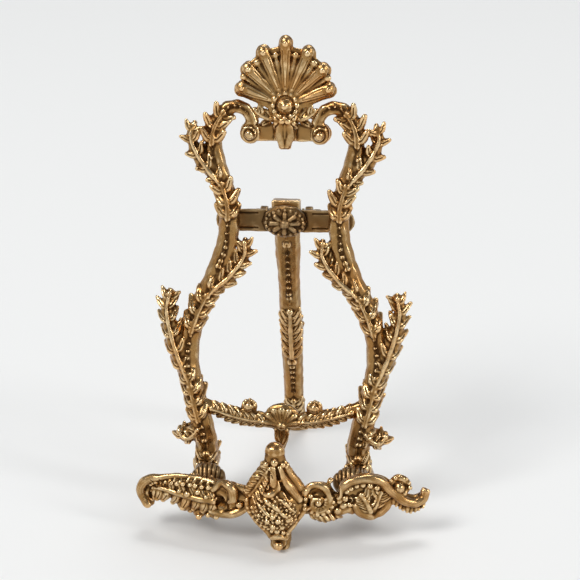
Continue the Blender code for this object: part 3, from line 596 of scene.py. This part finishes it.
def front_cartouche():
    """The finger, the domed boss and the foot in the middle of the ledge."""
    piece = Casting("front_cartouche", 0.15)
    # finger: smooth tip, a collar of beads, an oval rib beside a long diagonal one
    piece.bead(0.485, 0.845, 1.05, 0.45)
    piece.scatter([(0.36, 0.815, 0.8), (0.61, 0.815, 0.8)], 0.3)
    piece.rib([(0.46, 0.79, 0.8), (0.465, 0.72, 1.35), (0.475, 0.64, 0.9)], 0.55)
    piece.rib([(0.56, 0.79, 0.8), (0.63, 0.69, 1.2), (0.74, 0.59, 1.45), (0.86, 0.50, 1.1)], 0.45)
    # flanks: a smooth web on each side, edged with beads, and a leaf over the left one
    piece.rib([(0.34, 0.82, 0.7), (0.24, 0.71, 1.2), (0.12, 0.59, 1.4)], -0.3)
    piece.rib([(0.63, 0.82, 0.8), (0.72, 0.71, 1.4), (0.85, 0.59, 1.6)], -0.3)
    piece.beads([(0.30, 0.80), (0.17, 0.66), (0.06, 0.54)], 6, 0.8, 1.35, -0.3)
    piece.beads([(0.67, 0.80), (0.79, 0.67), (0.93, 0.55)], 6, 0.8, 1.35, -0.2)
    piece.beads([(0.66, 0.79), (0.80, 0.67), (0.93, 0.57)], 7, 0.5, 0.55, 0.3)
    piece.leaf([(0.42, 0.79), (0.31, 0.69), (0.20, 0.59), (0.10, 0.51)], 6, 2.4, 0.95, 0.4, lean=0.5)
    piece.rib([(0.56, 0.68, 0.6), (0.52, 0.60, 1.0), (0.40, 0.56, 0.9), (0.28, 0.57, 0.5)], 0.5)
    piece.line([(0.53, 0.79), (0.56, 0.70), (0.62, 0.62), (0.72, 0.53)], 0.3, 0.45)
    piece.line([(0.40, 0.77), (0.40, 0.68), (0.37, 0.61)], 0.3, 0.45)
    # domed boss: granulated ground, slanting ribs and a few larger pearls
    boss_u, boss_v = 0.49, 0.385
    for step in range(GRAINS):
        reach = math.sqrt((step + 0.5) / GRAINS)
        angle = step * GOLDEN_ANGLE
        piece.bead(boss_u + 0.37 * reach * math.cos(angle), boss_v + 0.165 * reach * math.sin(angle),
                   0.36 + 0.12 * piece.random.uniform(), 0.12)
    for u, v, size in ((0.27, 0.46, 0.8), (0.39, 0.505, 1.0), (0.51, 0.465, 1.1), (0.65, 0.50, 0.9),
                       (0.36, 0.41, 0.8), (0.62, 0.40, 0.9), (0.76, 0.43, 0.7)):
        piece.rib([(u - 0.05 * size, v + 0.024 * size, 0.4), (u, v, 0.7 * size),
                   (u + 0.065 * size, v - 0.034 * size, 0.42)], 0.4)
    piece.scatter([(0.25, 0.37, 0.65), (0.47, 0.37, 0.75), (0.55, 0.33, 0.9), (0.38, 0.32, 0.8),
                   (0.70, 0.335, 0.7), (0.47, 0.27, 0.8), (0.61, 0.26, 0.7), (0.34, 0.26, 0.6),
                   (0.53, 0.205, 0.75), (0.44, 0.20, 0.6), (0.62, 0.19, 0.7)], 0.4)
    # plaited border down to the foot
    for edge in ([(0.05, 0.47), (0.07, 0.38), (0.20, 0.275), (0.34, 0.19), (0.42, 0.13)],
                 [(0.95, 0.48), (0.93, 0.38), (0.82, 0.275), (0.70, 0.19), (0.66, 0.13)]):
        piece.rib([(u, v, 0.75) for u, v in edge], 0.15)
        piece.beads(edge, 11, 0.65, 0.5, 0.5)
    piece.rib([(0.44, 0.13, 0.7), (0.55, 0.155, 0.9), (0.66, 0.13, 0.7)], 0.45)
    piece.bead(0.55, 0.065, 1.3, 0.7)
    piece.line([(0.41, 0.10), (0.42, 0.05), (0.49, 0.015), (0.61, 0.015), (0.68, 0.05), (0.69, 0.10)],
               0.35, 0.5)
    piece.finish(CAST_GILT, LEDGE_WEAR)


# ---------------------------------------------------------------- upright, crest, tie, leg, arms

# the right stile's lines; the left one mirrors them
SCROLL = [(0.645, 0.05), (0.56, 0.118), (0.54, 0.189), (0.627, 0.281), (0.715, 0.383), (0.662, 0.485),
          (0.47, 0.578), (0.323, 0.672), (0.313, 0.757), (0.421, 0.842), (0.47, 0.923), (0.33, 0.978),
          (0.149, 0.976), (0.065, 0.941)]
BRANCHES = {
    "outer": [(0.68, 0.335), (0.80, 0.395), (0.885, 0.46), (0.932, 0.515), (0.905, 0.548)],
    "inner": [(0.50, 0.556), (0.35, 0.583), (0.23, 0.615), (0.14, 0.648), (0.148, 0.672)],
    "shoulder": [(0.39, 0.812), (0.51, 0.842), (0.63, 0.878), (0.69, 0.918), (0.66, 0.940)],
    "knee": [(0.60, 0.228), (0.69, 0.203), (0.77, 0.200), (0.815, 0.213)],
}
LEAVES = {"outer": (7, 3.0), "inner": (6, 2.8), "shoulder": (5, 2.6), "knee": (3, 2.4)}   # lobes, reach
SHEATHS = [
    [(0.60, 0.09), (0.555, 0.125), (0.535, 0.16)],
    [(0.60, 0.25), (0.65, 0.295), (0.69, 0.335)],
    [(0.68, 0.465), (0.61, 0.51), (0.52, 0.55)],
    [(0.31, 0.73), (0.32, 0.77), (0.38, 0.81)],
    [(0.475, 0.90), (0.45, 0.94), (0.36, 0.972)],
]
PEARLS = [                     # route in the channel, count, first and last radius
    ([(0.715, 0.365), (0.715, 0.41), (0.685, 0.455)], 6, 1.1, 0.75),
    ([(0.40, 0.62), (0.33, 0.665), (0.312, 0.715)], 7, 1.1, 0.65),
    ([(0.545, 0.20), (0.57, 0.235)], 3, 1.0, 0.8),
    ([(0.47, 0.87), (0.475, 0.895)], 2, 0.8, 0.7),
    ([(0.31, 0.983), (0.22, 0.987), (0.14, 0.975)], 4, 0.75, 0.55),
]
SCROLL_EYE = (0.103, 0.923)
EYE_TURNS = 14                 # points of the spiral cut around the eye


def mirrored(points, side):
    """Points given as (share of the width out from the middle, v, ...), on one side of a casting."""
    return [(0.5 + side * out, *rest) for out, *rest in points]


def stile(side):
    """One side of the upright: a channelled S-scroll with leaves at its joints."""
    piece = Casting("right_stile" if side > 0 else "left_stile", 0.265, 0.35, 10)
    channel = 0.5                                           # mm deep

    def out(points):
        """(u, v) points of the right stile, mirrored for the left one."""
        return [(u if side > 0 else 1 - u, v) for u, v in points]

    piece.line(out(SCROLL), 0.8, channel)
    for face in (-1, 1):
        for name, (lobes, reach) in LEAVES.items():
            piece.leaf(out(BRANCHES[name]), lobes, reach, 1.15, 0.0, face)
        for sheath in SHEATHS:
            piece.leaf(out(sheath), 3, 3.3, 1.4, 0.15, face, lean=0.85)
        for route, count, first, last in PEARLS:
            piece.beads(out(route), count, first, last, channel, face)
    eye_u, eye_v = out([SCROLL_EYE])[0]
    piece.bead(eye_u, eye_v, 1.5, 0.2)
    spiral = []
    for step in range(EYE_TURNS):
        angle, radius = math.radians(35 * step + 60), 2.5 - 0.08 * step
        spiral.append((eye_u + side * radius * math.cos(angle) / piece.size[0],
                       eye_v + radius * math.sin(angle) / piece.size[2]))
    piece.line(spiral, 0.28, 0.35)
    piece.finish(CAST_GILT)


def crest():
    """A fan of seven ribs rising from a rosette, over a leaf on each side."""
    piece = Casting("crest", 0.2, 0.3, 6)
    root_x, root_z = piece.spot((0.5, 0.40))
    ribs = [(math.radians(23 * step), 16.4 - 1.35 * abs(step)) for step in range(-3, 4)]    # angle, reach
    gaps = [math.radians(23 * (step + 0.5)) for step in range(-3, 3)]

    def ray(angle, reach, *radius, aside=0.0):
        """A point at reach from the root; aside steps across the ray."""
        return (root_x + math.sin(angle) * reach + math.cos(angle) * aside,
                root_z + math.cos(angle) * reach - math.sin(angle) * aside, *radius)

    for face in (-1, 1):
        for angle, reach in ribs:
            piece.rib_mm([ray(angle, 3.0, 0.6), ray(angle, 0.55 * reach, 1.2), ray(angle, reach, 1.7)],
                         0.2, face)
            piece.bead_mm(*ray(angle, reach - 0.1, 0.75), 1.75, face)
        for angle in gaps:
            piece.rib_mm([ray(angle, 3.0, 0.4), ray(angle, 8.0, 0.6), ray(angle, 12.4, 0.6)], 0.25, face)
            piece.bead_mm(*ray(angle, 13.3, 1.0), 0.4, face)
        for side in (-1, 1):
            leaf = mirrored([(0.03, 0.27), (0.17, 0.27), (0.30, 0.34)], side)
            piece.leaf(leaf, 3, 2.0, 1.2, 0.25, face)
            piece.rib(mirrored([(0.02, 0.04, 0.6), (0.055, 0.14, 1.0), (0.05, 0.25, 0.9)], side), 0.3, face)
    for angle, reach in ribs:
        for sign in (-1, 1):
            edge = [ray(angle, 5.0, aside=0.25 * sign), ray(angle, 0.6 * reach, aside=0.6 * sign),
                    ray(angle, 0.88 * reach, aside=0.85 * sign)]
            piece.lines.append((np.array(edge), 0.2, 0.2))
    piece.bead_mm(root_x, root_z, 2.2, 0.3)
    piece.bead_mm(root_x, root_z, 0.9, 2.0)
    for step in range(12):
        angle = math.radians(30 * step)
        piece.bead_mm(root_x + 3.2 * math.cos(angle), root_z + 3.2 * math.sin(angle), 0.75, 0.5)
    piece.finish(CAST_GILT)


def lower_tie():
    """A festoon: a leaf and a bead on each side of a small shell and its drop."""
    piece = Casting("lower_tie", 0.17, 0.3, 6)
    shell_x, shell_z = piece.spot((0.5, 0.52))
    for face in (-1, 1):
        for side in (-1, 1):
            leaf = mirrored([(0.11, 0.58), (0.27, 0.645), (0.44, 0.80)], side)
            piece.leaf(leaf, 7, 2.1, 1.0, 0.1, face, lean=0.85)
            piece.bead(0.5 + side * 0.205, 0.86, 1.5, 0.45, face)
            piece.rib(mirrored([(0.03, 0.44, 0.7), (0.028, 0.28, 0.7), (0.0, 0.08, 0.4)], side), 0.15, face)
        for step in range(-3, 4):
            angle = math.radians(27 * step)
            tip = (shell_x + 4.3 * math.sin(angle), shell_z + 4.5 * math.cos(angle))
            piece.rib_mm([(shell_x, shell_z, 0.5), (*tip, 1.05)], 0.35, face)
        piece.bead(0.5, 0.52, 1.25, 0.6, face)
    for side in (-1, 1):
        piece.line(mirrored([(0.175, 0.92), (0.205, 0.98), (0.235, 0.92)], side), 0.25, 0.6)
    piece.finish(CAST_GILT)


def rear_leg():
    """The strut: a channel with pearls above and below a leaf, and a ringed foot."""
    piece = Casting("rear_leg", 0.22, 0.35, 10)
    channel = 0.55                                          # mm deep
    piece.line([(0.5, 0.15), (0.5, 0.34)], 0.8, channel)
    piece.line([(0.5, 0.60), (0.5, 0.84)], 0.8, channel)
    for face in (-1, 1):
        piece.leaf([(0.5, 0.355), (0.5, 0.46), (0.5, 0.56)], 6, 2.9, 1.35, 0.1, face, lean=1.1)
        piece.leaf([(0.5, 0.075), (0.5, 0.115), (0.5, 0.15)], 3, 2.6, 1.3, 0.1, face, lean=0.9)
        piece.beads([(0.5, 0.62), (0.5, 0.80)], 8, 1.0, 0.65, channel, face)
        piece.beads([(0.5, 0.19), (0.5, 0.31)], 6, 0.65, 1.0, channel, face)
        piece.bead(0.5, 0.335, 1.5, 0.3, face)
        piece.bead(0.5, 0.84, 1.3, 0.3, face)
    for step in range(3):
        v = 0.035 + 0.012 * step
        piece.line([(0.0, v), (1.0, v)], 0.25, 0.25)
    piece.finish(CAST_GILT)


def cradle_arm(side):
    """One of the two brackets under the plate, fluted over its shoulder."""
    piece = Casting("right_cradle_arm" if side > 0 else "left_cradle_arm", 0.16, 0.22, 8)
    centre = 0.48 if side < 0 else 0.52
    for step in range(-3, 4):
        piece.line([(centre + 0.05 * step, 0.30), (centre + 0.11 * step, 0.62), (centre + 0.14 * step, 0.98)],
                   0.25, 0.28)
    # the darker frame gilt is painted shade: the plate's shadow on the arm
    piece.finish(SHADED_FRAME_GILT)


def hinge_bracket():
    """The bar that carries the leg, with a rosette in its middle and a line near each edge."""
    piece = Casting("hinge_bracket", 0.16, 0.2, 3)
    middle_x, middle_z = piece.spot((0.5, 0.5))
    for step in range(20):
        angle = math.radians(18 * step)
        piece.bead_mm(middle_x + 5.2 * math.cos(angle), middle_z + 3.5 * math.sin(angle), 0.5, 0.1)
    for step in range(8):
        angle = math.radians(45 * step)
        piece.rib_mm([(middle_x + 1.2 * math.cos(angle), middle_z + 0.9 * math.sin(angle), 0.5),
                      (middle_x + 3.7 * math.cos(angle), middle_z + 2.5 * math.sin(angle), 0.75)], 0.1)
    piece.bead_mm(middle_x, middle_z, 1.4, 0.1)
    for side in (-1, 1):
        for v in (0.72, 0.28):
            piece.line(mirrored([(0.20, v), (0.36, v)], side), 0.25, 0.25)
    # the hinge bracket wears the frame gilt, darkened as painted shade
    piece.finish(SHADED_FRAME_GILT)


def plain_piece(node, material, voxel, rounds):
    """A machined or filed piece: only its edges are softened."""
    Casting(node, voxel, voxel, rounds).finish(material, rounds=1, lumps=0.01)


# ---------------------------------------------------------------- stage

LAMP_DISTANCE = 30             # in stand heights, so that the floor is lit evenly
FLOOR_SIZE = 36                # in stand heights
FLOOR_GAP = 0.00002            # m, keeps the feet's soles from sharing the floor's plane
LAMPS = {                      # direction from the stand, size as a share of the distance, radiance
    "key_softbox": ((-0.7, -0.8, 1.1), (0.42, 0.34), 11.0),
    "side_softbox": ((1.0, -0.45, 0.55), (0.2, 0.45), 9.0),
    "top_softbox": ((0.1, 0.5, 1.4), (0.45, 0.25), 9.0),
}
CAMERA_AZIMUTH, CAMERA_ELEVATION = math.radians(4), math.radians(20)
CAMERA_DISTANCE = 3.4          # in stand heights
AIM_DROP = 0.045               # in stand heights, because the front foot hangs low in view


def softbox(name, direction, size, radiance, centre, height):
    """A rectangular lamp aimed at the stand."""
    light = bpy.data.lights.new(name, "AREA")
    light.shape = "RECTANGLE"
    light.size, light.size_y = (side * height * LAMP_DISTANCE for side in size)
    light.energy = radiance * math.pi * light.size * light.size_y
    lamp = bpy.data.objects.new(name, light)
    away = Vector(direction).normalized()
    lamp.location = centre + away * height * LAMP_DISTANCE
    lamp.rotation_euler = (-away).to_track_quat("-Z", "Y").to_euler()
    bpy.context.scene.collection.objects.link(lamp)


def build_sky():
    """Studio walls: white towards the horizon, dimmer overhead so that the metal keeps its contrast."""
    world = bpy.data.worlds.new("studio")
    world.use_nodes = True
    nodes, links = world.node_tree.nodes, world.node_tree.links
    coords = nodes.new("ShaderNodeTexCoord")
    split = nodes.new("ShaderNodeSeparateXYZ")
    links.new(coords.outputs["Generated"], split.inputs["Vector"])
    walls = ramp_node(nodes, [(0.0, (0.86, 0.86, 0.86)), (0.14, (0.76, 0.77, 0.78)),
                              (0.45, (0.26, 0.27, 0.28))])
    links.new(split.outputs["Z"], walls.inputs["Fac"])
    links.new(walls.outputs["Color"], nodes["Background"].inputs["Color"])
    bpy.context.scene.world = world


def build_floor(centre, level, height):
    """A sheet of pale paper that the stand is on."""
    bpy.ops.mesh.primitive_plane_add(size=height * FLOOR_SIZE,
                                     location=(centre.x, centre.y, level - FLOOR_GAP))
    floor = bpy.context.object
    floor.name = "floor"
    paper = bpy.data.materials.new("pale_paper")
    paper.use_nodes = True
    shader = paper.node_tree.nodes["Principled BSDF"]
    shader.inputs["Base Color"].default_value = (0.86, 0.86, 0.85, 1.0)
    shader.inputs["Roughness"].default_value = 0.9
    floor.data.materials.append(paper)


def build_camera(centre, height):
    """A long lens in front of the stand, a little to its right and above it."""
    camera = bpy.data.cameras.new("camera")
    camera.lens = 100
    view = bpy.data.objects.new("camera", camera)
    level = math.cos(CAMERA_ELEVATION)
    back = Vector((math.sin(CAMERA_AZIMUTH) * level, -math.cos(CAMERA_AZIMUTH) * level,
                   math.sin(CAMERA_ELEVATION)))
    aim = centre - Vector((0, 0, AIM_DROP * height))
    view.location = aim + back * height * CAMERA_DISTANCE
    view.rotation_euler = (-back).to_track_quat("-Z", "Y").to_euler()
    bpy.context.scene.collection.objects.link(view)
    bpy.context.scene.camera = view


def build_stage():
    low, high = (Vector(corner) for corner in (cad_low, cad_high))
    centre, height = (low + high) / 2, (high - low).z
    build_floor(centre, low.z, height)
    build_sky()
    for name, (direction, size, radiance) in LAMPS.items():
        softbox(name, direction, size, radiance, centre, height)
    build_camera(centre, height)
    bpy.context.scene.view_settings.view_transform = "Standard"


# ---------------------------------------------------------------- run

left_leaf_wing()
right_scroll_wing()
front_cartouche()
crest()
lower_tie()
rear_leg()
hinge_bracket()
for side in (-1, 1):
    stile(side)
    cradle_arm(side)
# the ledge bar wears the frame gilt, darkened as painted shade
plain_piece("ledge_bar", SHADED_FRAME_GILT, 0.18, 3)
for node, slot in SLOT_OF.items():
    if slot == "hardware":
        plain_piece(node, TURNED_BRASS, 0.1, 4)
build_stage()
